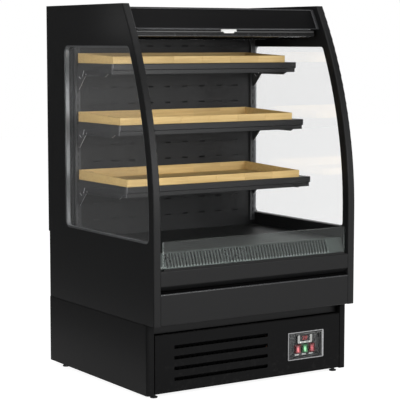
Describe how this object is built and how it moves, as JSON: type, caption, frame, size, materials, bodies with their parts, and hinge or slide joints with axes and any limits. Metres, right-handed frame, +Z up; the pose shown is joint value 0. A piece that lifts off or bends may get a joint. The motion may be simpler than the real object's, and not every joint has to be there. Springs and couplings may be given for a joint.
{
  "type": "open display fridge",
  "caption": "Open-fronted multideck display fridge with swept end panels, side windows, wood-look trays, night blind and a plinth with controls.",
  "frame": {"origin": "on the floor under the middle of the cabinet's bounding box", "axes": "+X to the right seen from the open front, +Y from the open front to the back, +Z up"},
  "size_m": [1, 0.89, 1.568],
  "materials": {
    "dark_enamel": "satin charcoal paint",
    "base_enamel": "satin near-black paint",
    "zinc_sheet": "zinc-coated sheet",
    "outer_sheet": "matt coated sheet",
    "liner": "satin grey paint",
    "inner_enamel": "satin dark grey paint",
    "rail_plastic": "matt dark extrusion",
    "glass": "clear float glass",
    "spacer_metal": "mill finish",
    "wood": "light wood look",
    "nozzle_plastic": "matt grey",
    "lamp_diffuser": "opal",
    "blind_cloth": "woven, grey",
    "bar_metal": "satin anodised",
    "white_plastic": "white",
    "bezel_plastic": "satin grey",
    "controller_plastic": "gloss black",
    "clear_plastic": "clear moulded plastic",
    "button_plastic": "off-white",
    "red_plastic": "translucent red",
    "green_plastic": "translucent green",
    "bright_steel": "zinc plated",
    "black_steel": "gloss black paint",
    "coil_metal": "bare fins",
    "fan_plastic": "moulded black",
    "copper": "bare copper tube",
    "electrics_plastic": "moulded grey"
  },
  "bodies": {
    "cabinet": {"air_grille": "liner", "air_nozzle": "nozzle_plastic", "back_wall": "outer_sheet", "base_frame": "base_enamel", "base_side_left": "base_enamel", "base_side_right": "base_enamel", "canopy_front": "dark_enamel", "compressor": "black_steel", "condenser": "coil_metal", "control_frame": "bezel_plastic", "controller": "controller_plastic", "deck_pans": "liner", "electrics_box": "electrics_plastic", "evaporator": "coil_metal", "fan_plate": "zinc_sheet", "front_panel": "dark_enamel", "front_rail": "dark_enamel", "inner_back_panel": "liner", "lamp": "lamp_diffuser", "louvre_panel": "base_enamel", "lower_end_left": "dark_enamel", "lower_end_right": "dark_enamel", "price_rails": "rail_plastic", "rear_grille": "zinc_sheet", "refrigerant_pipes": "copper", "riser_glass": "glass", "roof": "outer_sheet", "screws": "bright_steel", "shelf_brackets": "inner_enamel", "shelf_low": "inner_enamel", "shelf_middle": "inner_enamel", "shelf_top": "inner_enamel", "tray_low": "wood", "tray_middle": "wood", "tray_top": "wood", "tub": "liner", "upper_end_left": "dark_enamel", "upper_end_right": "dark_enamel", "uprights": "inner_enamel", "window_left": "glass", "window_right": "glass", "window_spacers": "spacer_metal"},
    "night_blind": {"blind_bar": "bar_metal", "blind_handle": "white_plastic", "blind_web": "blind_cloth"},
    "roller": {"blind_roller": "blind_cloth"},
    "cover": {"control_cover": "clear_plastic"},
    "power_rocker": {"power_switch": "red_plastic"},
    "light_rocker": {"light_switch": "green_plastic"},
    "defrost_rocker": {"defrost_switch": "red_plastic"},
    "down_key": {"down_button": "button_plastic"},
    "set_key": {"set_button": "button_plastic"},
    "up_key": {"up_button": "button_plastic"},
    "condenser_rotor": {"condenser_fan": "fan_plastic"},
    "left_rotor": {"evaporator_fan_left": "fan_plastic"},
    "right_rotor": {"evaporator_fan_right": "fan_plastic"},
    "front_left_foot": {"foot_front_left": "bright_steel"},
    "front_right_foot": {"foot_front_right": "bright_steel"},
    "rear_left_foot": {"foot_rear_left": "bright_steel"},
    "rear_right_foot": {"foot_rear_right": "bright_steel"}
  },
  "joints": [
    {"name": "blind_pull", "type": "slide", "parent": "cabinet", "child": "night_blind", "axis": [0, -0.2464, -0.9692], "range_m": [0, 0.815], "stiffness_N_per_m": 15, "springref_m": -1, "deforming": ["blind_web"]},
    {"name": "roller_turn", "type": "hinge", "parent": "cabinet", "child": "roller", "pos_m": [0, -0.188, 1.486], "axis": [1, 0, 0], "range_deg": [0, 2340]},
    {"name": "cover_hinge", "type": "hinge", "parent": "cabinet", "child": "cover", "pos_m": [0.283, -0.3925, 0.184], "axis": [-1, 0, 0], "range_deg": [0, 110]},
    {"name": "power_rock", "type": "hinge", "parent": "cabinet", "child": "power_rocker", "pos_m": [0.2496, -0.38, 0.1195], "axis": [1, 0, 0], "range_deg": [0, 12]},
    {"name": "light_rock", "type": "hinge", "parent": "cabinet", "child": "light_rocker", "pos_m": [0.2865, -0.38, 0.1195], "axis": [1, 0, 0], "range_deg": [0, 12]},
    {"name": "defrost_rock", "type": "hinge", "parent": "cabinet", "child": "defrost_rocker", "pos_m": [0.3227, -0.38, 0.1195], "axis": [1, 0, 0], "range_deg": [0, 12]},
    {"name": "down_press", "type": "slide", "parent": "cabinet", "child": "down_key", "axis": [0, 1, 0], "range_m": [0, 0.001], "stiffness_N_per_m": 300, "springref_m": -0.001},
    {"name": "set_press", "type": "slide", "parent": "cabinet", "child": "set_key", "axis": [0, 1, 0], "range_m": [0, 0.001], "stiffness_N_per_m": 300, "springref_m": -0.001},
    {"name": "up_press", "type": "slide", "parent": "cabinet", "child": "up_key", "axis": [0, 1, 0], "range_m": [0, 0.001], "stiffness_N_per_m": 300, "springref_m": -0.001},
    {"name": "condenser_spin", "type": "hinge", "parent": "cabinet", "child": "condenser_rotor", "pos_m": [-0.17, -0.27, 0.152], "axis": [0, 1, 0], "continuous": true},
    {"name": "left_spin", "type": "hinge", "parent": "cabinet", "child": "left_rotor", "pos_m": [-0.2, 0.03, 0.446], "axis": [0, 1, 0], "continuous": true},
    {"name": "right_spin", "type": "hinge", "parent": "cabinet", "child": "right_rotor", "pos_m": [0.2, 0.03, 0.446], "axis": [0, 1, 0], "continuous": true},
    {"name": "front_left_level", "type": "slide", "parent": "cabinet", "child": "front_left_foot", "axis": [0, 0, -1], "range_m": [0, 0.02]},
    {"name": "front_right_level", "type": "slide", "parent": "cabinet", "child": "front_right_foot", "axis": [0, 0, -1], "range_m": [0, 0.02]},
    {"name": "rear_left_level", "type": "slide", "parent": "cabinet", "child": "rear_left_foot", "axis": [0, 0, -1], "range_m": [0, 0.02]},
    {"name": "rear_right_level", "type": "slide", "parent": "cabinet", "child": "rear_right_foot", "axis": [0, 0, -1], "range_m": [0, 0.02]}
  ],
  "couplings": [
    {"joint": "roller_turn", "follows": "blind_pull", "rad_per_m": 50}
  ]
}
